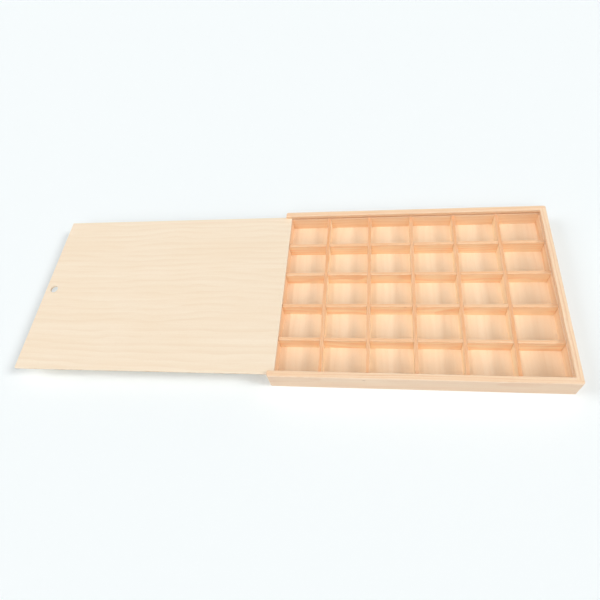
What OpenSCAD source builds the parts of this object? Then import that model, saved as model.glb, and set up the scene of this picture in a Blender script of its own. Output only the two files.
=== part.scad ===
// Shallow wooden box of thirty compartments under a lid that slides in grooves.
// Origin: middle of the underside. X runs along the lid's travel, Y across it, Z up.
// The lid is drawn out to the left, and its inner end is still held in the grooves.

/* [Box] */
// Outer length, along the way the lid slides
box_l = 400; // [240:1:600]
// Outer width, across the lid
box_w = 290; // [180:1:420]
// Height of the three grooved walls
box_h = 34; // [26:0.5:80]
// Thickness of the four walls
wall_t = 9; // [8:0.5:16]
// Radius of the upright outer corners
corner_r = 3; // [1.5:0.5:5]
// Radius of the sanded outer edges
edge_r = 1; // [0.4:0.1:1.4]
// Radius of the sanded inner edges of the walls, at the top
inner_edge_r = 0.6; // [0.3:0.1:1]
// How deep each end wall is let into the rails
corner_rabbet = 4; // [2:0.5:5]

/* [Bottom panel] */
// Thickness of the bottom panel
bottom_t = 3; // [2:0.5:6]
// How far the bottom panel is let in under each wall
bottom_seat = 4; // [2:0.5:5]

/* [Compartments] */
// Compartments side by side along the length
columns = 6; // [2:1:9]
// Compartments side by side across the width
rows = 5; // [2:1:8]
// Thickness of the dividers
divider_t = 5; // [3:0.5:8]
// Radius of the sanded top edges of the dividers
divider_edge_r = 0.6; // [0.3:0.1:1.2]
// Spare width of a half-lap slot where two dividers cross
slot_play = 0.6; // [0.1:0.1:1]
// Gap between a divider's end and the wall
divider_end_gap = 0.2; // [0.1:0.05:0.3]

/* [Lid] */
// Thickness of the lid
lid_t = 3; // [2:0.5:6]
// Height of the lip that holds the lid down
lip_h = 5; // [3:0.5:10]
// Depth of the lid groove in the walls
groove_d = 3.5; // [2.5:0.5:5]
// Gap above the lid and below it, in the groove
lid_face_gap = 0.25; // [0.1:0.05:0.3]
// Gap between each lid edge and the bottom of its groove
lid_edge_gap = 0.5; // [0.2:0.1:1]
// Radius of the lid's corners in plan
lid_corner_r = 1.5; // [1:0.5:6]
// Radius of the lid's sanded edges
lid_edge_r = 0.5; // [0.2:0.1:0.8]
// Diameter of the finger hole
finger_d = 12; // [8:1:24]
// Middle of the finger hole to the lid's outer end
finger_inset = 14; // [14:1:60]
// How much of the lid's inner end the grooves still hold when it is drawn out
lid_held = 9; // [5:1:60]

/* [Hidden] */
$fn = 96;

// How far a cut runs past the face it opens
overrun = wall_t;

// Space between the walls
inner_l = box_l - 2 * wall_t;
inner_w = box_w - 2 * wall_t;

// The groove is as high as the lid and its two gaps, and the lip stands above it
groove_h = lid_t + 2 * lid_face_gap;
groove_z = box_h - lip_h - groove_h;

// The low end wall and all dividers stop level with the groove's floor
low_end_h = groove_z;
divider_h = groove_z - bottom_t;
long_divider_l = inner_l - 2 * divider_end_gap;
cross_divider_l = inner_w - 2 * divider_end_gap;

// Middle-to-middle distance of the compartments
column_pitch = (inner_l + divider_t) / columns;
row_pitch = (inner_w + divider_t) / rows;

// Closed, the lid is flush with the box's left face and just short of the groove's bottom
lid_l = wall_t + inner_l + groove_d - lid_edge_gap;
lid_w = inner_w + 2 * (groove_d - lid_edge_gap);
lid_inner_end = lid_held - box_l / 2;

rail_colour = "#F2D3B4";
end_colour = "#F4CFA8";
divider_colour = "#F6C99B";
bottom_colour = "#FBE0BF";
lid_colour = "#F8E6CC";

// Places a flat profile so that it runs along X: its x becomes Y and its y becomes Z
module along_x(length) {
    translate([-length / 2, 0, 0])
        rotate([90, 0, 90])
            linear_extrude(length) children();
}

// Places a flat profile so that it runs along Y: its x becomes X and its y becomes Z
module along_y(length) {
    translate([0, length / 2, 0])
        rotate([90, 0, 0])
            linear_extrude(length) children();
}

// A rectangle with four round corners, standing on y = 0
module rounded_rectangle(w, h, r) {
    translate([r - w / 2, 0])
        square([w - 2 * r, h]);
    translate([-w / 2, r])
        square([w, h - 2 * r]);
    for (x = [r - w / 2, w / 2 - r], y = [r, h - r])
        translate([x, y])
            circle(r);
}

// A block on z = 0 with round upright corners, and all its other edges eased
module eased_block(l, w, h, corner, ease) {
    along_x(l - 2 * corner)
        rounded_rectangle(w, h, ease);
    along_y(w - 2 * corner)
        rounded_rectangle(l, h, ease);
    for (sx = [-1, 1], sy = [-1, 1])
        translate([sx * (l / 2 - corner), sy * (w / 2 - corner), 0])
            rotate_extrude()
                intersection() {
                    rounded_rectangle(2 * corner, h, ease);
                    square([corner, h]);
                }
}

// What a sanded edge loses: the corner at the origin, outside a circle in the third quarter
module edge_waste(r) {
    difference() {
        translate([-r, -r])
            square(r + overrun);
        translate([-r, -r])
            circle(r);
        translate([-r - overrun, -r - overrun])
            square([overrun, r + 2 * overrun]);
        translate([-r - overrun, -r - overrun])
            square([r + 2 * overrun, overrun]);
    }
}

// The outside of the whole box, before it is hollowed
module box_envelope() {
    eased_block(box_l, box_w, box_h, corner_r, edge_r);
}

// The seat of the bottom panel, cut out of the foot of every wall
module bottom_panel_seat() {
    translate([-inner_l / 2 - bottom_seat, -inner_w / 2 - bottom_seat, -overrun])
        cube([inner_l + 2 * bottom_seat, inner_w + 2 * bottom_seat, bottom_t + overrun]);
}

// The space that the lid runs in, open at the left
module lid_way() {
    translate([-box_l / 2 - overrun, -inner_w / 2 - groove_d, groove_z])
        cube([overrun + wall_t + inner_l + groove_d, inner_w + 2 * groove_d, groove_h]);
}

// A long wall on the front side: grooved for the lid, rabbeted for the bottom and both ends
module rail() {
    difference() {
        intersection() {
            box_envelope();
            translate([-box_l / 2, -box_w / 2, 0])
                cube([box_l, wall_t, box_h]);
        }
        lid_way();
        bottom_panel_seat();
        translate([inner_l / 2, -inner_w / 2 - corner_rabbet, -overrun])
            cube([wall_t + overrun, corner_rabbet + overrun, box_h + 2 * overrun]);
        translate([-box_l / 2 - overrun, -inner_w / 2 - corner_rabbet, -overrun])
            cube([overrun + wall_t, corner_rabbet + overrun, overrun + low_end_h]);
        translate([-wall_t / 2, -inner_w / 2, box_h])
            along_x(inner_l + wall_t)
                edge_waste(inner_edge_r);
    }
}

// An end wall on the right side, let into both rails and rabbeted for the bottom
module end_wall(h) {
    difference() {
        intersection() {
            box_envelope();
            translate([inner_l / 2, -inner_w / 2 - corner_rabbet, 0])
                cube([wall_t, inner_w + 2 * corner_rabbet, h]);
        }
        bottom_panel_seat();
        translate([inner_l / 2, 0, h])
            along_y(inner_w)
                mirror([1, 0])
                    edge_waste(inner_edge_r);
    }
}

// A board on edge with two sanded top edges
module divider_board(length) {
    along_x(length) {
        translate([-divider_t / 2, 0])
            square([divider_t, divider_h - divider_edge_r]);
        translate([divider_edge_r - divider_t / 2, 0])
            square([divider_t - 2 * divider_edge_r, divider_h]);
        for (side = [-1, 1])
            translate([side * (divider_t / 2 - divider_edge_r), divider_h - divider_edge_r])
                circle(divider_edge_r);
    }
}

// One half-lap slot, open upwards from half the divider's height
module half_lap_slot() {
    translate([-(divider_t + slot_play) / 2, -divider_t / 2 - overrun, divider_h / 2])
        cube([divider_t + slot_play, divider_t + 2 * overrun, divider_h / 2 + overrun]);
}

module front_rail() {
    color(rail_colour)
        rail();
}

module back_rail() {
    color(rail_colour)
        mirror([0, 1, 0])
            rail();
}

// The far end holds the lid's inner end in a groove like the rails'
module right_end() {
    color(end_colour)
        difference() {
            end_wall(box_h);
            translate([0, -inner_w / 2 - corner_rabbet - overrun, groove_z])
                cube([inner_l / 2 + groove_d, inner_w + 2 * (corner_rabbet + overrun), groove_h]);
        }
}

// The low end lets the lid in over its top
module left_end() {
    color(end_colour)
        mirror([1, 0, 0])
            difference() {
                end_wall(low_end_h);
                translate([box_l / 2, 0, low_end_h])
                    along_y(inner_w + 2 * corner_rabbet)
                        edge_waste(edge_r);
            }
}

module bottom_panel() {
    color(bottom_colour)
        translate([-inner_l / 2 - bottom_seat, -inner_w / 2 - bottom_seat, 0])
            cube([inner_l + 2 * bottom_seat, inner_w + 2 * bottom_seat, bottom_t]);
}

// Runs the whole length, slotted from above
module long_divider(i) {
    color(divider_colour)
        translate([0, i * row_pitch - (inner_w + divider_t) / 2, bottom_t])
            difference() {
                divider_board(long_divider_l);
                for (j = [1 : columns - 1])
                    translate([j * column_pitch - (inner_l + divider_t) / 2, 0, 0])
                        half_lap_slot();
            }
}

// Runs the whole width, slotted from below, so that its top edge is unbroken
module cross_divider(j) {
    color(divider_colour)
        translate([j * column_pitch - (inner_l + divider_t) / 2, 0, bottom_t])
            rotate([0, 0, 90])
                difference() {
                    divider_board(cross_divider_l);
                    for (i = [1 : rows - 1])
                        translate([i * row_pitch - (inner_w + divider_t) / 2, 0, divider_h])
                            mirror([0, 0, 1])
                                half_lap_slot();
                }
}

module lid() {
    color(lid_colour)
        translate([lid_inner_end - lid_l / 2, 0, groove_z + lid_face_gap])
            difference() {
                eased_block(lid_l, lid_w, lid_t, lid_corner_r, lid_edge_r);
                translate([finger_inset - lid_l / 2, 0, -overrun])
                    cylinder(h = lid_t + 2 * overrun, d = finger_d);
            }
}

front_rail();
back_rail();
right_end();
left_end();
bottom_panel();
lid();
for (i = [1 : rows - 1])
    long_divider(i);
for (j = [1 : columns - 1])
    cross_divider(j);
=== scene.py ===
# Wooden compartment box with a sliding lid: finish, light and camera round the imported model
import math

import bmesh
import bpy
import numpy as np
from mathutils import Matrix, Vector


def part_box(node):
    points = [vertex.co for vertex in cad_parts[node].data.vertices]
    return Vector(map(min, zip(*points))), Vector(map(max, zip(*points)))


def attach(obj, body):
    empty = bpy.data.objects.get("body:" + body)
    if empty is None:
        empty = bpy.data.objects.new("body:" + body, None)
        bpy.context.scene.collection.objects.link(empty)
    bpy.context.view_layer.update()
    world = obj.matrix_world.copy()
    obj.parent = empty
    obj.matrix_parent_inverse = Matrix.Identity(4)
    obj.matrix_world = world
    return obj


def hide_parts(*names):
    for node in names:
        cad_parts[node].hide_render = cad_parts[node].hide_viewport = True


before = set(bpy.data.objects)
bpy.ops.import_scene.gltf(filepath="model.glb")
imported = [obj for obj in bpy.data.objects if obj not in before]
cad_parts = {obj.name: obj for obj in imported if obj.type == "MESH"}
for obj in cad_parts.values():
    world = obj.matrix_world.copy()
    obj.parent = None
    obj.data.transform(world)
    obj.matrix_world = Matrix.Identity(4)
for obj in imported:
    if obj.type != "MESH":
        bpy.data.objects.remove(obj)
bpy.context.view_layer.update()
mm = 0.001
rng = np.random.default_rng(30)  # each board in turn draws its own piece of timber from this
print("frame loaded,", len(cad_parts), "nodes")


# Where the photograph was taken from, drawn back and rolled to take in the drawn-out lid

cameraLook = {
    "distance": 0.75,              # from the middle of the box, m
    "azimuth": -6.7,               # degrees, from the front towards the left
    "elevation": 57.3,             # degrees above the table
    "aim": (-0.1669, -0.0136, 0.017),
    "roll": -14.5,                 # keeps the long rails level in the picture
    "lens": 30.0,
    "sensorWidth": 36.0,
    "nearest": 0.01,               # m, and only what is between this and the next is drawn
    "farthest": 60.0,
}


def directionOf(look):
    # Unit vector towards an azimuth and elevation: (sin a cos e, -cos a cos e, sin e)
    azimuth, elevation = math.radians(look["azimuth"]), math.radians(look["elevation"])
    return Vector((math.sin(azimuth) * math.cos(elevation),
                   -math.cos(azimuth) * math.cos(elevation), math.sin(elevation)))


def addCamera(look):
    aim = Vector(look["aim"])
    place = Vector((0, 0, aim.z)) + directionOf(look) * look["distance"]
    turn = (aim - place).to_track_quat("-Z", "Y").to_matrix().to_4x4()
    roll = Matrix.Rotation(math.radians(look["roll"]), 4, "Z")
    data = bpy.data.cameras.new("productCamera")
    data.lens, data.sensor_width = look["lens"], look["sensorWidth"]
    data.clip_start, data.clip_end = look["nearest"], look["farthest"]
    camera = bpy.data.objects.new("productCamera", data)
    camera.matrix_world = Matrix.Translation(place) @ turn @ roll
    bpy.context.scene.collection.objects.link(camera)
    bpy.context.scene.camera = camera


addCamera(cameraLook)
print("camera placed")


# Shader nodes in short calls: a number, a colour or another node's output may stand for any input

def feed(tree, socket, value):
    if isinstance(value, bpy.types.NodeSocket):
        tree.links.new(value, socket)
    elif value is not None:
        socket.default_value = value


def addNode(tree, kind, inputs=None, **settings):
    node = tree.nodes.new(kind)
    for key, value in settings.items():
        setattr(node, key, value)
    for key, value in (inputs or {}).items():
        feed(tree, node.inputs[key], value)
    return node


def mathNode(tree, operation, *values):
    node = addNode(tree, "ShaderNodeMath", operation=operation)
    for socket, value in zip(node.inputs, values):
        feed(tree, socket, value)
    return node.outputs[0]


def vectorNode(tree, operation, *values, **settings):
    node = addNode(tree, "ShaderNodeVectorMath", operation=operation, **settings)
    for socket, value in zip(node.inputs, values):
        feed(tree, socket, value)
    return node


def stretch(tree, vector, scale):
    return addNode(tree, "ShaderNodeMapping", {"Vector": vector, "Scale": scale}).outputs[0]


def noiseNode(tree, vector, scale, detail=2.0, roughness=0.5, output="Fac"):
    inputs = {"Vector": stretch(tree, vector, scale), "Scale": 1.0,
              "Detail": detail, "Roughness": roughness}
    return addNode(tree, "ShaderNodeTexNoise", inputs).outputs[output]


def spanNode(tree, value, low, high, newLow=0.0, newHigh=1.0, kind="SMOOTHSTEP"):
    node = addNode(tree, "ShaderNodeMapRange", interpolation_type=kind)
    for socket, number in zip(node.inputs, (value, low, high, newLow, newHigh)):
        feed(tree, socket, number)
    return node.outputs[0]


def mixNode(tree, share, first, second):
    node = addNode(tree, "ShaderNodeMix", data_type="RGBA", clamp_factor=True)
    for index, value in ((0, share), (6, first), (7, second)):      # the colour sockets are the last two
        feed(tree, node.inputs[index], value)
    return node.outputs[2]


def newGroup(name, inputs, outputs):
    tree = bpy.data.node_groups.new(name, "ShaderNodeTree")
    kinds = {"vector": "NodeSocketVector", "colour": "NodeSocketColor", "value": "NodeSocketFloat"}
    for label, kind in inputs:
        tree.interface.new_socket(label, in_out="INPUT", socket_type=kinds[kind])
    for label, kind in outputs:
        tree.interface.new_socket(label, in_out="OUTPUT", socket_type=kinds[kind])
    return tree, tree.nodes.new("NodeGroupInput").outputs, tree.nodes.new("NodeGroupOutput").inputs


def placeGroup(tree, group, label, inputs):
    return addNode(tree, "ShaderNodeGroup", inputs, node_tree=group, label=label).outputs


def srgb(red, green, blue):
    # colours are written as a screen shows them, 0 to 255, and made linear here
    share = np.array([red, green, blue]) / 255
    linear = np.where(share <= 0.04045, share / 12.92, ((share + 0.055) / 1.055) ** 2.4)
    return (*linear.tolist(), 1.0)


# Effects that the woods share. The vector's X runs along the grain, and scales are patches in a metre,
# along the grain and in the two directions across it.

grainLook = {
    "warpScale": (7.0, 18.0, 18.0),
    "lateFrom": 0.1, "lateTo": 0.9, "lateCurve": 1.6,      # how a ring darkens, in shares of the ring
    "ringEnd": 0.93,                                       # where the late line starts to fall off
    "clearScale": (13.0, 60.0, 60.0), "clearFrom": 0.3, "clearTo": 0.62,
    "faintest": 0.25,                                      # what is left of a ring where it fades
    "fineScale": (26.0, 2100.0, 2100.0), "fineRoughness": 0.65,
    "broadScale": (5.0, 190.0, 190.0), "broadRoughness": 0.55, "broadShare": 0.5,
    "fibreDetail": 3.0, "fibreFrom": 0.37, "fibreTo": 0.63,
    "poreScale": (210.0, 3600.0, 3600.0), "poreDetail": 1.0, "poreFrom": 0.61, "poreTo": 0.70,
    "ringRelief": 0.3, "fibreRelief": 0.7,
}


def makeGrainGroup(look):
    # growth rings round a pith line that runs along the grain, warped slowly on their way and
    # clearer in some places than in others, then fibres in two widths and short open pores
    tree, given, out = newGroup("timberGrain", [
        ("Vector", "vector"), ("Ring Spacing", "value"), ("Warp", "value"), ("Pore Depth", "value")],
        [("Rings", "value"), ("Fibres", "value"), ("Pores", "value"), ("Height", "value")])
    vector = given["Vector"]
    slow = noiseNode(tree, vector, look["warpScale"], output="Color")
    centred = vectorNode(tree, "SUBTRACT", slow, (0.5, 0.5, 0.5)).outputs[0]
    bend = vectorNode(tree, "SCALE", centred)
    feed(tree, bend.inputs["Scale"], given["Warp"])
    moved = vectorNode(tree, "ADD", vector, bend.outputs[0]).outputs[0]
    apart = addNode(tree, "ShaderNodeSeparateXYZ", {"Vector": moved}).outputs
    radius = mathNode(tree, "SQRT", mathNode(tree, "ADD", mathNode(tree, "POWER", apart[1], 2.0),
                                             mathNode(tree, "POWER", apart[2], 2.0)))
    turns = mathNode(tree, "FRACT", mathNode(tree, "DIVIDE", radius, given["Ring Spacing"]))
    # early wood darkens slowly towards a narrow late line, which ends at once
    late = spanNode(tree, turns, look["lateFrom"], look["lateTo"])
    late = mathNode(tree, "POWER", late, look["lateCurve"])
    rings = mathNode(tree, "MULTIPLY", late, spanNode(tree, turns, look["ringEnd"], 1.0, 1.0, 0.0))
    patches = noiseNode(tree, vector, look["clearScale"])
    clear = spanNode(tree, patches, look["clearFrom"], look["clearTo"], look["faintest"], 1.0)
    rings = mathNode(tree, "MULTIPLY", rings, clear)
    fine = noiseNode(tree, vector, look["fineScale"], look["fibreDetail"], look["fineRoughness"])
    broad = noiseNode(tree, vector, look["broadScale"], look["fibreDetail"], look["broadRoughness"])
    fibres = mathNode(tree, "ADD", mathNode(tree, "MULTIPLY", fine, 1 - look["broadShare"]),
                      mathNode(tree, "MULTIPLY", broad, look["broadShare"]))
    dots = noiseNode(tree, vector, look["poreScale"], look["poreDetail"])
    pores = spanNode(tree, dots, look["poreFrom"], look["poreTo"])
    pores = mathNode(tree, "MULTIPLY", pores, given["Pore Depth"])
    height = mathNode(tree, "ADD", mathNode(tree, "MULTIPLY", rings, look["ringRelief"]),
                      mathNode(tree, "MULTIPLY", fine, look["fibreRelief"]))
    feed(tree, out["Rings"], rings)
    feed(tree, out["Fibres"], spanNode(tree, fibres, look["fibreFrom"], look["fibreTo"]))
    feed(tree, out["Pores"], pores)
    feed(tree, out["Height"], mathNode(tree, "SUBTRACT", height, pores))
    return tree


toneLook = {
    "cloudScale": (7.0, 30.0, 30.0), "cloudDetail": 3.0, "cloudFrom": 0.32, "cloudTo": 0.7,
    "cloudShare": 0.55, "boardShare": 0.45,
    "fleckScale": (26.0, 75.0, 75.0), "fleckCore": 0.03, "fleckRim": 0.085,
    "cleanShare": 0.972,                                   # of the places where a fleck could be
}


def makeToneGroup(look):
    # slow clouds of warmer wood, a step of tone from board to board, and a rare brown fleck
    tree, given, out = newGroup("boardTone", [
        ("Vector", "vector"), ("Color", "colour"), ("Warm", "colour"), ("Fleck Color", "colour"),
        ("Board", "value"), ("Spread", "value"), ("Flecks", "value")],
        [("Color", "colour"), ("Cloud", "value")])
    vector = given["Vector"]
    cloud = noiseNode(tree, vector, look["cloudScale"], look["cloudDetail"])
    warmth = mathNode(tree, "MULTIPLY", spanNode(tree, cloud, look["cloudFrom"], look["cloudTo"]),
                      look["cloudShare"])
    share = mathNode(tree, "ADD", warmth, mathNode(tree, "MULTIPLY", given["Board"], look["boardShare"]))
    share = mathNode(tree, "MULTIPLY", share, given["Spread"])
    toned = mixNode(tree, share, given["Color"], given["Warm"])
    spots = addNode(tree, "ShaderNodeTexVoronoi", {
        "Vector": stretch(tree, vector, look["fleckScale"]), "Scale": 1.0}).outputs
    lot = addNode(tree, "ShaderNodeSeparateColor", {"Color": spots["Color"]}).outputs[0]
    near = spanNode(tree, spots["Distance"], look["fleckCore"], look["fleckRim"], 1.0, 0.0)
    chosen = mathNode(tree, "GREATER_THAN", lot, look["cleanShare"])
    spot = mathNode(tree, "MULTIPLY", near, chosen)
    fleck = mathNode(tree, "MULTIPLY", spot, given["Flecks"])
    feed(tree, out["Color"], mixNode(tree, fleck, toned, given["Fleck Color"]))
    feed(tree, out["Cloud"], cloud)
    return tree


edgeLook = {
    "patchScale": (90.0, 240.0, 240.0), "patchDetail": 3.0, "patchRoughness": 0.6,
    "patchFrom": 0.3, "patchTo": 0.62,
    "smoother": 0.2,                                       # how much less rough a fully worn edge is
}


def makeEdgeGroup(look):
    # sanded and handled edges: paler and smoother than the face, broken up along their length
    tree, given, out = newGroup("sandedEdge", [
        ("Vector", "vector"), ("Color", "colour"), ("Worn", "colour"), ("Mask", "value"),
        ("Amount", "value"), ("Roughness", "value")],
        [("Color", "colour"), ("Roughness", "value")])
    patches = noiseNode(tree, given["Vector"], look["patchScale"], look["patchDetail"],
                        look["patchRoughness"])
    patches = spanNode(tree, patches, look["patchFrom"], look["patchTo"])
    worn = mathNode(tree, "MULTIPLY", mathNode(tree, "MULTIPLY", given["Mask"], patches), given["Amount"])
    feed(tree, out["Color"], mixNode(tree, worn, given["Color"], given["Worn"]))
    feed(tree, out["Roughness"], mathNode(tree, "SUBTRACT", given["Roughness"],
                                          mathNode(tree, "MULTIPLY", worn, look["smoother"])))
    return tree


plyLook = {
    "coreEdge": (0.205, 0.225),                            # shares of the thickness, from its middle
    "glueInner": (0.19, 0.21), "glueOuter": (0.22, 0.24), "glueStrength": 0.6,
    "speckleScale": (2600.0, 2600.0, 2600.0), "speckleFrom": 0.42, "speckleTo": 0.66,
    "speckleStrength": 0.55,
}


def makePlyGroup(look):
    # three veneers with thin glue lines, told apart by the height over the board's underside;
    # the core shows its open end grain as fine speckle
    tree, given, out = newGroup("plyLayers", [
        ("Vector", "vector"), ("Height", "value"), ("Thickness", "value"), ("Face Color", "colour"),
        ("Core Color", "colour"), ("Glue Color", "colour")],
        [("Color", "colour")])
    share = mathNode(tree, "DIVIDE", given["Height"], given["Thickness"])
    fromMiddle = mathNode(tree, "ABSOLUTE", mathNode(tree, "SUBTRACT", share, 0.5))
    core = spanNode(tree, fromMiddle, *look["coreEdge"], 1.0, 0.0)
    glue = mathNode(tree, "MULTIPLY", spanNode(tree, fromMiddle, *look["glueInner"]),
                    spanNode(tree, fromMiddle, *look["glueOuter"], 1.0, 0.0))
    speckle = noiseNode(tree, given["Vector"], look["speckleScale"])
    speckle = spanNode(tree, speckle, look["speckleFrom"], look["speckleTo"], 0.0, look["speckleStrength"])
    coreColour = mixNode(tree, speckle, given["Core Color"], given["Glue Color"])
    layered = mixNode(tree, core, given["Face Color"], coreColour)
    glued = mathNode(tree, "MULTIPLY", glue, look["glueStrength"])
    feed(tree, out["Color"], mixNode(tree, glued, layered, given["Glue Color"]))
    return tree


grainGroup = makeGrainGroup(grainLook)
toneGroup = makeToneGroup(toneLook)
edgeGroup = makeEdgeGroup(edgeLook)
plyGroup = makePlyGroup(plyLook)


# The woods: pale peach walls, warmer dividers, and nearly white veneer on the bottom and the lid.
# Light and dark are the wood between its rings and in them, and warm is what the slow clouds turn
# to. Worn is for sanded edges, end for end grain, and the shade colour is painted shade on the
# outside faces of the walls and on the tops of the dividers.

railWood = {
    "light": srgb(253, 227, 196), "dark": srgb(233, 186, 145), "warm": srgb(247, 204, 162),
    "worn": srgb(254, 234, 212), "end": srgb(226, 178, 136), "fleck": srgb(150, 98, 60),
    "paintedShade": srgb(217, 198, 182),    # painted shade: the outside faces are a little greyer than the top
    "ringSpacing": 3.4 * mm, "warp": 9 * mm, "ringShare": 0.55, "fibreShare": 0.30, "poreDepth": 0.5,
    "spread": 0.55, "flecks": 0.75, "edge": 0.3, "roughness": 0.58, "bump": 0.14,
}
dividerWood = {
    "light": srgb(255, 235, 202), "dark": srgb(244, 180, 132), "warm": srgb(254, 213, 168),
    "worn": srgb(254, 232, 202), "end": srgb(224, 170, 120), "fleck": srgb(150, 92, 52),
    "paintedShade": srgb(238, 164, 104),    # painted shade: the tops are darker than the planed faces
    "ringSpacing": 3.2 * mm, "warp": 13 * mm, "ringShare": 0.62, "fibreShare": 0.30, "poreDepth": 0.5,
    "spread": 0.6, "flecks": 0.6, "edge": 0.3, "roughness": 0.62, "bump": 0.14,
}
crossWood = dict(
    dividerWood,                       # the boards across are paler on their faces, and painted shade makes their tops darker
    light=srgb(255, 240, 210), dark=srgb(250, 206, 159), warm=srgb(255, 225, 184),
    paintedShade=srgb(234, 160, 102),
)
bottomPly = {
    "light": srgb(253, 231, 203), "dark": srgb(239, 207, 170), "warm": srgb(248, 219, 183),
    "worn": srgb(254, 237, 214), "core": srgb(222, 182, 142), "glue": srgb(176, 134, 96),
    "fleck": srgb(176, 130, 88),
    "ringSpacing": 9 * mm, "warp": 26 * mm, "ringShare": 0.18, "fibreShare": 0.24, "poreDepth": 0.5,
    "spread": 0.5, "flecks": 0.4, "edge": 0.3, "roughness": 0.6, "bump": 0.08,
}
lidPly = {
    "light": srgb(250, 234, 211), "dark": srgb(236, 210, 178), "warm": srgb(244, 221, 191),
    "worn": srgb(252, 241, 224), "core": srgb(224, 190, 150), "glue": srgb(184, 142, 102),
    "fleck": srgb(184, 142, 102),
    "ringSpacing": 11 * mm, "warp": 32 * mm, "ringShare": 0.26, "fibreShare": 0.24, "poreDepth": 0.5,
    "spread": 0.5, "flecks": 0.35, "edge": 0.4, "roughness": 0.55, "bump": 0.08,
}
finishLook = {
    "endBetweenRings": 0.55,           # end grain is less dark between the rings
    # the painted shade is patchy, from the least share of it to all of it, as the clouds go
    "shadeFrom": 0.3, "shadeTo": 0.7, "shadeLeast": 0.75,
    # clouds and fibres add to the wood's own roughness, and the shift takes most of it off again
    "cloudRoughness": 0.16, "fibreRoughness": 0.08, "roughnessShift": -0.10,
    "bumpDistance": 0.3 * mm, "specular": 0.3,
}


def woodMaterial(name, wood, plyThickness=None):
    # grain, then tone, then veneers, or end grain and painted shade, then the edges, into one plain wood
    # shader
    look = finishLook
    material = bpy.data.materials.new(name)
    material.use_nodes = True
    tree = material.node_tree
    tree.nodes.clear()

    def attribute(layer, output="Fac"):
        return addNode(tree, "ShaderNodeAttribute", attribute_name=layer).outputs[output]

    vector = attribute("grainCoord", "Vector")
    grain = placeGroup(tree, grainGroup, "grain", {
        "Vector": vector, "Ring Spacing": wood["ringSpacing"], "Warp": wood["warp"],
        "Pore Depth": wood["poreDepth"]})
    rings = mathNode(tree, "MULTIPLY", grain["Rings"], wood["ringShare"])
    fibres = mathNode(tree, "MULTIPLY", grain["Fibres"], wood["fibreShare"])
    colour = mixNode(tree, mathNode(tree, "ADD", rings, fibres), wood["light"], wood["dark"])
    colour = mixNode(tree, grain["Pores"], colour, wood["dark"])

    tone = placeGroup(tree, toneGroup, "tone", {
        "Vector": vector, "Color": colour, "Warm": wood["warm"], "Fleck Color": wood["fleck"],
        "Board": attribute("boardTone"), "Spread": wood["spread"], "Flecks": wood["flecks"]})
    colour = tone["Color"]
    if plyThickness:
        colour = placeGroup(tree, plyGroup, "veneers", {
            "Vector": vector, "Height": attribute("plyHeight"), "Thickness": plyThickness,
            "Face Color": colour, "Core Color": wood["core"], "Glue Color": wood["glue"]})["Color"]
    else:
        ringShade = spanNode(tree, grain["Rings"], 0.0, 1.0, look["endBetweenRings"], 1.0)
        endShare = mathNode(tree, "MULTIPLY", attribute("endMask"), ringShade)
        colour = mixNode(tree, endShare, colour, wood["end"])
        # painted shade: darkens the walls' outside faces and the dividers' tops towards the shade colour,
        # patchy as the clouds go
        uneven = spanNode(tree, tone["Cloud"], look["shadeFrom"], look["shadeTo"],
                          look["shadeLeast"], 1.0)
        paintedShade = mathNode(tree, "MULTIPLY", attribute("paintedShadeMask"), uneven)
        colour = mixNode(tree, paintedShade, colour, wood["paintedShade"])

    rough = mathNode(tree, "MULTIPLY_ADD", tone["Cloud"], look["cloudRoughness"],
                     wood["roughness"] + look["roughnessShift"])
    rough = mathNode(tree, "MULTIPLY_ADD", grain["Fibres"], look["fibreRoughness"], rough)
    edges = placeGroup(tree, edgeGroup, "edges", {
        "Vector": vector, "Color": colour, "Worn": wood["worn"], "Mask": attribute("edgeMask"),
        "Amount": wood["edge"], "Roughness": rough})
    bump = addNode(tree, "ShaderNodeBump", {
        "Height": grain["Height"], "Strength": wood["bump"], "Distance": look["bumpDistance"]})
    shader = addNode(tree, "ShaderNodeBsdfPrincipled", {
        "Base Color": edges["Color"], "Roughness": edges["Roughness"],
        "Normal": bump.outputs[0], "Specular IOR Level": look["specular"]})
    addNode(tree, "ShaderNodeOutputMaterial", {"Surface": shader.outputs[0]})
    return material


# Sizes are read from the frame, so that each dressed board lies on its solid

def nodeBox(name):
    low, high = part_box(name)
    return np.array(low), np.array(high)


frontLow, frontHigh = nodeBox("front_rail")
lidLow, lidHigh = nodeBox("lid")
rightHigh, leftHigh = nodeBox("right_end")[1], nodeBox("left_end")[1]
panelHigh = nodeBox("bottom_panel")[1]

halfLength, halfWidth, boxHeight = frontHigh[0], -frontLow[1], frontHigh[2]
wallThick = frontHigh[1] - frontLow[1]
innerLength, innerWidth = halfLength - wallThick, halfWidth - wallThick
cornerLap = rightHigh[1] - innerWidth              # how far an end wall is let into the rail
panelThick = panelHigh[2]
panelSeat = panelHigh[0] - innerLength
grooveFloor = leftHigh[2]

railMaterial = woodMaterial("railTimber", railWood)
longMaterial = woodMaterial("longTimber", dividerWood)
crossMaterial = woodMaterial("crossTimber", crossWood)
bottomMaterial = woodMaterial("bottomVeneer", bottomPly, panelThick)
lidMaterial = woodMaterial("lidVeneer", lidPly, lidHigh[2] - lidLow[2])
print("materials made")


# Mesh code that the boards share

meshRules = {
    "mergeWithin": 0.002 * mm,     # points nearer than this become one
    "thinnest": 0.001 * mm,        # sides shorter than this are taken out
    "sharpAngle": 35,              # degrees, past which two faces meet in a sharp edge
    "loopShare": 0.45,             # a loop is kept short of the middle of a short side
}
logShape = {
    "along": 3.0,                  # m, how far along the log a board may start, either way
    "nearest": 0.045, "farthest": 0.09, "sideways": 0.03,      # m from the pith line
    "veneerDepth": 0.3,            # veneers are cut so flat that the depth counts for less
}


def arcInset(past, radius):
    # What a quarter circle takes off, a depth d past its start: radius - sqrt(radius^2 - d^2)
    past = np.clip(past, 0, radius)
    return radius - np.sqrt(np.maximum(radius * radius - past * past, 0))


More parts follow.
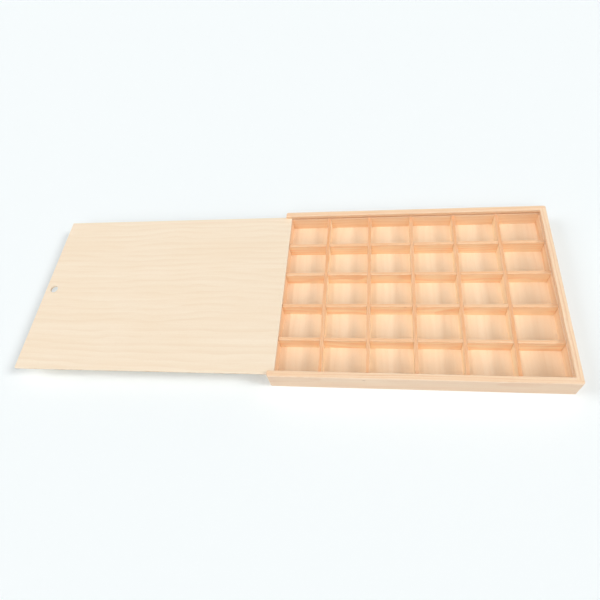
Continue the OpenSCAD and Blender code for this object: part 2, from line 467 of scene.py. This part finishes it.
def arcStations(reach, radius, steps):
    # Places along a board's eased end: reach - radius (1 - sin t), t from 0 to 90 degrees
    t = np.linspace(0, math.pi / 2, steps)
    return reach - radius * (1 - np.sin(t))


def easedProfile(corners, loop, steps):
    # A closed outline of square corners, each one replaced by a quarter circle of its own radius r:
    # point = corner + r (1 - sin t) a + r (1 - cos t) b, where a and b point to the two neighbours
    # and t runs from 0 to 90 degrees. One more point stands a loop's length off on each side of the
    # arc. The edge mask is 1 on the arc and 0 at those two.
    spots = np.array([spot for spot, radius in corners], float)
    radii = np.array([radius for spot, radius in corners], float)[:, None]
    before, after = np.roll(spots, 1, 0) - spots, np.roll(spots, -1, 0) - spots
    lengthA = np.linalg.norm(before, axis=1, keepdims=True)
    lengthB = np.linalg.norm(after, axis=1, keepdims=True)
    a, b = before / lengthA, after / lengthB
    t = np.linspace(0, math.pi / 2, steps + 1)[None, :, None]
    arcs = spots[:, None] + radii[:, None] * ((1 - np.sin(t)) * a[:, None] + (1 - np.cos(t)) * b[:, None])
    first = spots + np.minimum(radii + loop, meshRules["loopShare"] * lengthA) * a
    last = spots + np.minimum(radii + loop, meshRules["loopShare"] * lengthB) * b
    points = np.concatenate([first[:, None], arcs, last[:, None]], 1).reshape(-1, 2)
    mask = np.concatenate([[0.0], np.ones(steps + 1), [0.0]])
    return points, np.tile(mask, len(corners))


def ringFaces(rings, perRing, closed=False):
    # Quads between each ring and the next. An open run gets a flat cap at both ends, a closed one
    # joins up.
    ring = np.arange(rings if closed else rings - 1)[:, None]
    point = np.arange(perRing)[None, :]
    nextRing, nextPoint = (ring + 1) % rings, (point + 1) % perRing
    corners = [ring * perRing + point, ring * perRing + nextPoint,
               nextRing * perRing + nextPoint, nextRing * perRing + point]
    quads = np.stack(corners, -1).reshape(-1, 4).tolist()
    if not closed:
        quads += [list(range(perRing)), list(range((rings - 1) * perRing, rings * perRing))]
    return quads


def addPiece(name, points, faces, masks, material, body):
    # One object on the CAD node of the same name. Points that fall together are merged, and faces
    # turned outwards.
    mesh = bpy.data.meshes.new(name)
    mesh.from_pydata(points.tolist(), [], faces)
    for key, values in masks.items():
        vector = np.ndim(values) == 2
        layer = mesh.attributes.new(key, "FLOAT_VECTOR" if vector else "FLOAT", "POINT")
        numbers = np.ascontiguousarray(values, np.float32).ravel()
        layer.data.foreach_set("vector" if vector else "value", numbers)
    work = bmesh.new()
    work.from_mesh(mesh)
    bmesh.ops.remove_doubles(work, verts=work.verts, dist=meshRules["mergeWithin"])
    bmesh.ops.dissolve_degenerate(work, edges=work.edges, dist=meshRules["thinnest"])
    bmesh.ops.recalc_face_normals(work, faces=work.faces)
    work.to_mesh(mesh)
    work.free()
    mesh.shade_smooth()
    mesh.set_sharp_from_angle(angle=math.radians(meshRules["sharpAngle"]))
    mesh.materials.append(material)
    piece = bpy.data.objects.new(name + "_wood", mesh)
    bpy.context.scene.collection.objects.link(piece)
    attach(piece, body)
    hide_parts(name)


def timberCoords(along, across, up):
    # Where the board was cut from the log: X along the grain, Y and Z from the pith line
    log = logShape
    shift = np.array([rng.uniform(-log["along"], log["along"]),
                      rng.uniform(log["nearest"], log["farthest"]),
                      rng.uniform(-log["sideways"], log["sideways"])])
    return np.stack([along, across, up], -1) + shift


# The four walls. The groove, the upright corner and the outer and inner edges are the solids' own,
# and the two finest edges are added here.

wallShape = {
    "grooveHeight": 3.5 * mm, "grooveDepth": 3.5 * mm,
    "uprightCorner": 3.0 * mm, "outerEdge": 1.0 * mm, "innerEdge": 0.6 * mm,
    "grooveEdge": 0.25 * mm, "jointEdge": 0.12 * mm,
    "loop": 1.2 * mm, "arcSteps": 6, "cornerSteps": 9, "railStations": 25, "endStations": 19,
    "outsideShade": 0.45,           # how much painted shade greys the outside faces
    "endGrainShare": 0.6,          # of the end edge, from its tip
    # each wall's own tone: 0 is pale wood, 1 is warm, and past 1 is warmer still
    "boardTone": {"front_rail": 0.45, "back_rail": 1.1, "right_end": 0.2, "left_end": 1.3},
}


def wallProfile(height, grooved, innerEdge):
    # A wall's section: how deep from its outer face, and how high. Its foot is rabbeted for the
    # bottom panel.
    wall = wallShape
    seat, joint, lip = wallThick - panelSeat, wall["jointEdge"], wall["grooveEdge"]
    corners = [((0, 0), wall["outerEdge"]), ((seat, 0), joint), ((seat, panelThick), joint),
               ((wallThick, panelThick), joint)]
    if grooved:
        back, top = wallThick - wall["grooveDepth"], grooveFloor + wall["grooveHeight"]
        corners += [((wallThick, grooveFloor), lip), ((back, grooveFloor), joint), ((back, top), joint),
                    ((wallThick, top), lip)]
    corners += [((wallThick, height), innerEdge), ((0, height), wall["outerEdge"])]
    return easedProfile(corners, wall["loop"], wall["arcSteps"])


def outsideShadeMask(depth):
    # painted shade on the wall's outside: full on the outer face, and gone where the eased edge ends
    return wallShape["outsideShade"] * np.clip(1 - depth / wallShape["outerEdge"], 0, 1)


def holdInside(x, y, z):
    # Keeps points inside the box's rounded outside. The outer edge's radius e takes its arc off z
    # near the ends, and off the side at a height z near the top or the foot: that is the inset.
    # Past the start of the upright corner of radius r, with L and W half the length and width,
    # |y| <= W - r + sqrt((r - inset)^2 - (|x| - (L - r))^2), and before it |y| <= W - inset.
    e, r = wallShape["outerEdge"], wallShape["uprightCorner"]
    least = arcInset(np.abs(x) - (halfLength - e), e)
    z = np.clip(z, least, boxHeight - least)
    inset = arcInset(np.maximum(e - z, z - (boxHeight - e)), e)
    past = np.clip(np.abs(x) - (halfLength - r), 0, r)
    limit = halfWidth - r + np.sqrt(np.maximum((r - inset) ** 2 - past ** 2, 0))
    return x, np.clip(y, -limit, limit), z


def addRail(name, side):
    # The wall's section carried along X. Past the inside of an end wall it is cut back to the lap,
    # at the low end only below the groove's floor.
    wall = wallShape
    profile, profileMask = wallProfile(boxHeight, True, wall["innerEdge"])
    corner = arcStations(halfLength, wall["uprightCorner"], wall["cornerSteps"])
    last = arcStations(halfLength, wall["outerEdge"], wall["cornerSteps"])
    end = np.unique(np.round(np.concatenate([corner, last]), 8))       # equal places fall together
    body = np.linspace(-innerLength, innerLength, wall["railStations"])
    lapStart = np.array([innerLength, innerLength + wall["loop"]])
    stations = np.concatenate([-end[::-1], -lapStart[::-1], body, lapStart, end])
    past = len(end) + len(lapStart)        # so many stations lie past the inside of each end wall
    cut = np.zeros((len(stations), 1), int)
    cut[:past], cut[-past:] = -1, 1
    x = np.broadcast_to(stations[:, None], (len(stations), len(profile)))
    depth = np.broadcast_to(profile[:, 0], x.shape)
    z = np.broadcast_to(profile[:, 1], x.shape)
    low = z <= grooveFloor + meshRules["thinnest"]
    lap = np.minimum(depth, wallThick - cornerLap)
    depth = np.where((cut == 1) | ((cut == -1) & low), lap, depth)
    x, y, z = holdInside(x, side * (halfWidth - depth), z)
    points = np.stack([x, y, z], -1).reshape(-1, 3)
    ends = np.abs(stations) >= halfLength - wall["outerEdge"] * wall["endGrainShare"]
    ends = ends.astype(float)[:, None]
    masks = {
        "grainCoord": timberCoords(points[:, 0], points[:, 1] * side - halfWidth, points[:, 2]),
        "edgeMask": np.maximum(np.broadcast_to(profileMask, x.shape), ends).ravel(),
        "endMask": np.broadcast_to(ends, x.shape).ravel(),
        # painted shade on the outside faces
        "paintedShadeMask": outsideShadeMask(depth).ravel(),
        "boardTone": np.full(len(points), wall["boardTone"][name]),
    }
    addPiece(name, points, ringFaces(*x.shape), masks, railMaterial, "box")


def addEnd(name, side, height, grooved):
    # The wall's section carried along Y between the laps. Inside a lap the inner top edge stays square.
    wall = wallShape
    eased, easedMask = wallProfile(height, grooved, wall["innerEdge"])
    square, squareMask = wallProfile(height, grooved, wall["jointEdge"])
    lapEnd = innerWidth + cornerLap
    body = np.linspace(-innerWidth, innerWidth, wall["endStations"])
    stations = np.concatenate([[-lapEnd, -innerWidth], body, [innerWidth, lapEnd]])
    inLap = np.zeros(len(stations), bool)
    inLap[:2] = inLap[-2:] = True          # the two stations at each end
    section = np.where(inLap[:, None, None], square, eased)
    depth, z = section[..., 0], section[..., 1]
    y = np.broadcast_to(stations[:, None], z.shape)
    points = np.stack([side * (halfLength - depth), y, z], -1).reshape(-1, 3)
    masks = {
        "grainCoord": timberCoords(points[:, 1], points[:, 0] * side - halfLength, points[:, 2]),
        "edgeMask": np.where(inLap[:, None], squareMask, easedMask).ravel(),
        "endMask": np.zeros(len(points)),
        "paintedShadeMask": outsideShadeMask(depth).ravel(),
        "boardTone": np.full(len(points), wall["boardTone"][name]),
    }
    addPiece(name, points, ringFaces(*y.shape), masks, railMaterial, "box")


addRail("front_rail", -1)
addRail("back_rail", 1)
addEnd("right_end", 1, boxHeight, True)
addEnd("left_end", -1, leftHigh[2], False)
print("walls made")


# The dividers. The slots and the eased top edges are the solids' own.

dividerShape = {
    "topEdge": 0.6 * mm, "slotPlay": 0.6 * mm, "footEdge": 0.1 * mm, "endEdge": 0.15 * mm,
    "loop": 1.0 * mm, "arcSteps": 5, "endSteps": 4,
    "longTopShade": 0.45, "crossTopShade": 0.80,           # how much painted shade darkens the top edges
}
longNames = sorted(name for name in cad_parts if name.startswith("long_divider"))
crossNames = sorted(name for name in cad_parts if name.startswith("cross_divider"))
middles = {name: sum(nodeBox(name)) / 2 for name in longNames + crossNames}


def addDivider(name, axis, crossings, slotFromTop, topShade, material):
    # A board's section carried along its length (axis 0 is X, 1 is Y), with a half-lap slot at each
    # crossing: there the section stops at half height, from above or from below.
    board = dividerShape
    low, high = nodeBox(name)
    thick, reach = high[1 - axis] - low[1 - axis], high[axis]
    half, foot, top = thick / 2, low[2], high[2]
    footEdge, topEdge, endEdge = board["footEdge"], board["topEdge"], board["endEdge"]
    corners = [((-half, foot), footEdge), ((half, foot), footEdge),
               ((half, top), topEdge), ((-half, top), topEdge)]
    profile, profileMask = easedProfile(corners, board["loop"], board["arcSteps"])
    slotHalf = (thick + board["slotPlay"]) / 2
    slotEdges = np.sort(np.concatenate([crossings - slotHalf, crossings + slotHalf]))
    between = (slotEdges[1:-1:2] + slotEdges[2::2]) / 2
    end = arcStations(reach, endEdge, board["endSteps"])
    stations = np.concatenate([-end[::-1], end, np.repeat(slotEdges, 2), between])
    slotSteps = np.tile([False, True, True, False], len(crossings))     # in and out of each slot
    inSlot = np.concatenate([np.zeros(2 * len(end), bool), slotSteps, np.zeros(len(between), bool)])
    order = np.argsort(stations, kind="stable")
    stations, inSlot = stations[order], inSlot[order]
    along = np.broadcast_to(stations[:, None], (len(stations), len(profile)))
    inset = arcInset(np.abs(stations) - (reach - endEdge), endEdge)[:, None]
    across = np.clip(profile[:, 0], -half + inset, half - inset)
    up = np.clip(profile[:, 1], foot + inset, top - inset)
    middle = (foot + top) / 2
    limited = np.minimum(up, middle) if slotFromTop else np.maximum(up, middle)
    up = np.where(inSlot[:, None], limited, up)
    shifted = across + middles[name][1 - axis]
    parts = [along, shifted, up] if axis == 0 else [shifted, along, up]
    points = np.stack(parts, -1).reshape(-1, 3)
    arcFoot = top - topEdge * 1.01         # a little lower, so that the arcs' first points count
    onTop = np.broadcast_to(profile[:, 1] > arcFoot, along.shape)
    masks = {
        "grainCoord": timberCoords(along.ravel(), across.ravel(), up.ravel()),
        "edgeMask": np.broadcast_to(profileMask, along.shape).ravel(),
        "endMask": np.broadcast_to(inset > 0, along.shape).ravel(),
        # painted shade on the top edges
        "paintedShadeMask": topShade * onTop.ravel(),
        "boardTone": np.full(len(points), rng.uniform(0, 1)),
    }
    addPiece(name, points, ringFaces(*along.shape), masks, material, "box")


crossAt = np.array([middles[name][0] for name in crossNames])
longAt = np.array([middles[name][1] for name in longNames])
for name in longNames:
    addDivider(name, 0, crossAt, True, dividerShape["longTopShade"], longMaterial)
for name in crossNames:
    addDivider(name, 1, longAt, False, dividerShape["crossTopShade"], crossMaterial)
print("dividers made:", len(longNames), "long,", len(crossNames), "across")


# The bottom panel

panelShape = {
    "edge": 0.15 * mm, "loop": 2.0 * mm, "arcSteps": 3, "endSteps": 4, "stations": 15,
    "boardTone": 0.4,
}


def addPanel():
    # The panel's eased section carried along X. The last rings draw in by the same quarter circle.
    board = panelShape
    edge = board["edge"]
    halfL, halfW = panelHigh[0], panelHigh[1]
    corners = [((-halfW, 0), edge), ((halfW, 0), edge),
               ((halfW, panelThick), edge), ((-halfW, panelThick), edge)]
    profile, profileMask = easedProfile(corners, board["loop"], board["arcSteps"])
    end = arcStations(halfL, edge, board["endSteps"])
    stations = np.concatenate([-end[::-1], np.linspace(-halfL, halfL, board["stations"])[1:-1], end])
    inset = arcInset(np.abs(stations) - (halfL - edge), edge)[:, None]
    x = np.broadcast_to(stations[:, None], (len(stations), len(profile)))
    y = np.clip(profile[:, 0], -halfW + inset, halfW - inset)
    z = np.clip(profile[:, 1], inset, panelThick - inset)
    points = np.stack([x, y, z], -1).reshape(-1, 3)
    masks = {
        "grainCoord": timberCoords(points[:, 1], points[:, 0], points[:, 2] * logShape["veneerDepth"]),
        "edgeMask": np.broadcast_to(profileMask, x.shape).ravel(),
        "boardTone": np.full(len(points), board["boardTone"]),
        "plyHeight": points[:, 2],
    }
    faces = ringFaces(*x.shape)
    addPiece("bottom_panel", points, faces, masks, bottomMaterial, "box")


addPanel()
print("bottom panel made")


# The lid. All but the eased edge of its hole is the solid's own.

lidShape = {
    "cornerRadius": 1.5 * mm, "edge": 0.5 * mm, "holeEdge": 0.3 * mm, "holeRadius": 6.0 * mm,
    "holeInset": 14.0 * mm,        # from the outer end to the middle of the hole
    "loop": 0.8 * mm, "arcSteps": 5, "holePoints": 96, "cornerPoints": 9,
    "boardTone": 0.3,
}


def lidOutline(hole):
    # The lid's rounded outline, seen from the middle of the hole: points in the order of their angle,
    # with each point's outward direction. On a straight side the ray from the hole meets the side's
    # line.
    r = lidShape["cornerRadius"]
    half = (lidHigh[:2] - lidLow[:2]) / 2
    middle = (lidHigh[:2] + lidLow[:2]) / 2
    t = np.linspace(0, math.pi / 2, lidShape["cornerPoints"])
    turn = np.concatenate([t + corner * math.pi / 2 for corner in range(4)])
    signs = np.repeat([[1, 1], [-1, 1], [-1, -1], [1, -1]], len(t), 0)
    outward = np.stack([np.cos(turn), np.sin(turn)], 1)
    arcs = middle + signs * (half - r) + r * outward
    angle = np.linspace(-math.pi, math.pi, lidShape["holePoints"], endpoint=False)
    ray = np.stack([np.cos(angle), np.sin(angle)], 1)
    room = np.where(ray > 0, middle + half - hole, hole - (middle - half))
    steps = room / np.maximum(np.abs(ray), 1e-9)       # no ray is divided by zero
    sides = hole + ray * steps.min(1)[:, None]
    rows, nearest = np.arange(len(ray)), steps.argmin(1)
    away = np.zeros_like(ray)
    away[rows, nearest] = np.sign(ray[rows, nearest])
    straight = (np.abs(sides - middle) <= half - r).any(1)
    points = np.concatenate([arcs, sides[straight]])
    outward = np.concatenate([outward, away[straight]])
    seen = points - hole
    order = np.argsort(np.arctan2(seen[:, 1], seen[:, 0]))
    return points[order], outward[order]


def addLid():
    # A closed surface of two parameters. One runs round the hole and the outline together, and the
    # other across the board: up the hole's wall, over its rim, along the top, over the outer edge,
    # down the side and back underneath.
    board = lidShape
    hole = np.array([lidLow[0] + board["holeInset"], (lidLow[1] + lidHigh[1]) / 2])
    outline, outward = lidOutline(hole)
    seen = outline - hole
    toOutline = seen / np.linalg.norm(seen, axis=1, keepdims=True)
    t = np.linspace(0, math.pi / 2, board["arcSteps"] + 1)
    rim = board["holeRadius"] + board["holeEdge"] * (1 - np.cos(t))
    rimDrop = board["holeEdge"] * (1 - np.sin(t))
    draw = board["edge"] * (1 - np.sin(t))
    drop = board["edge"] * (1 - np.cos(t))
    bottom, top = lidLow[2], lidHigh[2]
    upper = [(hole + toOutline * radius, top - down, 1.0) for radius, down in zip(rim, rimDrop)]
    upper.append((hole + toOutline * (rim[-1] + board["loop"]), top, 0.0))
    upper.append((outline - outward * (board["edge"] + board["loop"]), top, 0.0))
    upper += [(outline - outward * inwards, top - down, 1.0) for inwards, down in zip(draw, drop)]
    lower = [(flat, bottom + top - z, mask) for flat, z, mask in upper[::-1]]
    rings = upper + lower
    points = np.concatenate([np.column_stack([flat, np.full(len(flat), z)]) for flat, z, mask in rings])
    height = points[:, 2] - bottom
    masks = {
        "grainCoord": timberCoords(points[:, 0], points[:, 1], height * logShape["veneerDepth"]),
        "edgeMask": np.repeat([mask for flat, z, mask in rings], len(outline)),
        "boardTone": np.full(len(points), board["boardTone"]),
        "plyHeight": height,
    }
    faces = ringFaces(len(rings), len(outline), closed=True)
    addPiece("lid", points, faces, masks, lidMaterial, "lid")


addLid()
print("lid made")


# Floor, lamps and world

studio = {
    "floorColour": srgb(247, 252, 253), "backColour": srgb(249, 254, 255),
    "floorSize": 12.0, "floorDrop": 0.1 * mm, "floorRoughness": 0.9, "floorSpecular": 0.1,
    "fillHigh": 0.085, "fillLow": 0.40,                 # the soft light overhead, and round the horizon
    "lampDistance": 2.0,           # m, which only spaces them out in the viewport
    # degrees, and each lamp's share of the light that a level surface gets
    "key": {"elevation": 60, "azimuth": -42, "share": 0.15, "spread": 5},
    "right": {"elevation": 40, "azimuth": 84, "share": 0.27, "spread": 18},
    "left": {"elevation": 40, "azimuth": -90, "share": 0.19, "spread": 34},
    "front": {"elevation": 47, "azimuth": 2, "share": 0.20, "spread": 36},
}


def addFloor():
    half = studio["floorSize"] / 2
    mesh = bpy.data.meshes.new("tableTop")
    corners = [(-half, -half, 0), (half, -half, 0), (half, half, 0), (-half, half, 0)]
    mesh.from_pydata(corners, [], [(0, 1, 2, 3)])
    floor = bpy.data.objects.new("tableTop", mesh)
    bpy.context.scene.collection.objects.link(floor)
    floor.location.z = -studio["floorDrop"]
    material = bpy.data.materials.new("paleFloor")
    material.use_nodes = True
    shader = material.node_tree.nodes["Principled BSDF"]
    shader.inputs["Base Color"].default_value = studio["floorColour"]
    shader.inputs["Roughness"].default_value = studio["floorRoughness"]
    shader.inputs["Specular IOR Level"].default_value = studio["floorSpecular"]
    mesh.materials.append(material)


def addSun(name, look):
    # A share of 1 lights a level surface so that its colour comes out as written.
    data = bpy.data.lights.new(name, "SUN")
    data.energy = look["share"] * math.pi / math.sin(math.radians(look["elevation"]))
    data.angle = math.radians(look["spread"])
    lamp = bpy.data.objects.new(name, data)
    bpy.context.scene.collection.objects.link(lamp)
    away = directionOf(look)
    lamp.rotation_euler = away.to_track_quat("Z", "Y").to_euler()
    lamp.location = away * studio["lampDistance"]


def addWorld():
    world = bpy.data.worlds.new("studioWorld")
    bpy.context.scene.world = world
    world.use_nodes = True
    tree = world.node_tree
    tree.nodes.clear()
    # a world's Generated coordinates are the direction that is looked in
    direction = addNode(tree, "ShaderNodeTexCoord").outputs["Generated"]
    upward = addNode(tree, "ShaderNodeSeparateXYZ", {"Vector": direction}).outputs[2]
    level = spanNode(tree, upward, 0.0, 1.0, studio["fillLow"], studio["fillHigh"], "LINEAR")
    light = addNode(tree, "ShaderNodeBackground", {"Color": (1, 1, 1, 1), "Strength": level})
    seen = addNode(tree, "ShaderNodeBackground", {"Color": studio["backColour"], "Strength": 1.0})
    path = addNode(tree, "ShaderNodeLightPath").outputs
    direct = mathNode(tree, "MAXIMUM", path["Is Camera Ray"],
                      mathNode(tree, "MAXIMUM", path["Is Transmission Ray"], path["Is Glossy Ray"]))
    both = addNode(tree, "ShaderNodeMixShader", {0: direct, 1: light.outputs[0], 2: seen.outputs[0]})
    addNode(tree, "ShaderNodeOutputWorld", {"Surface": both.outputs[0]})


addFloor()
for lamp in ("key", "right", "left", "front"):
    addSun(lamp + "Lamp", studio[lamp])
addWorld()
bpy.context.scene.view_settings.view_transform = "Standard"
print("studio lit")
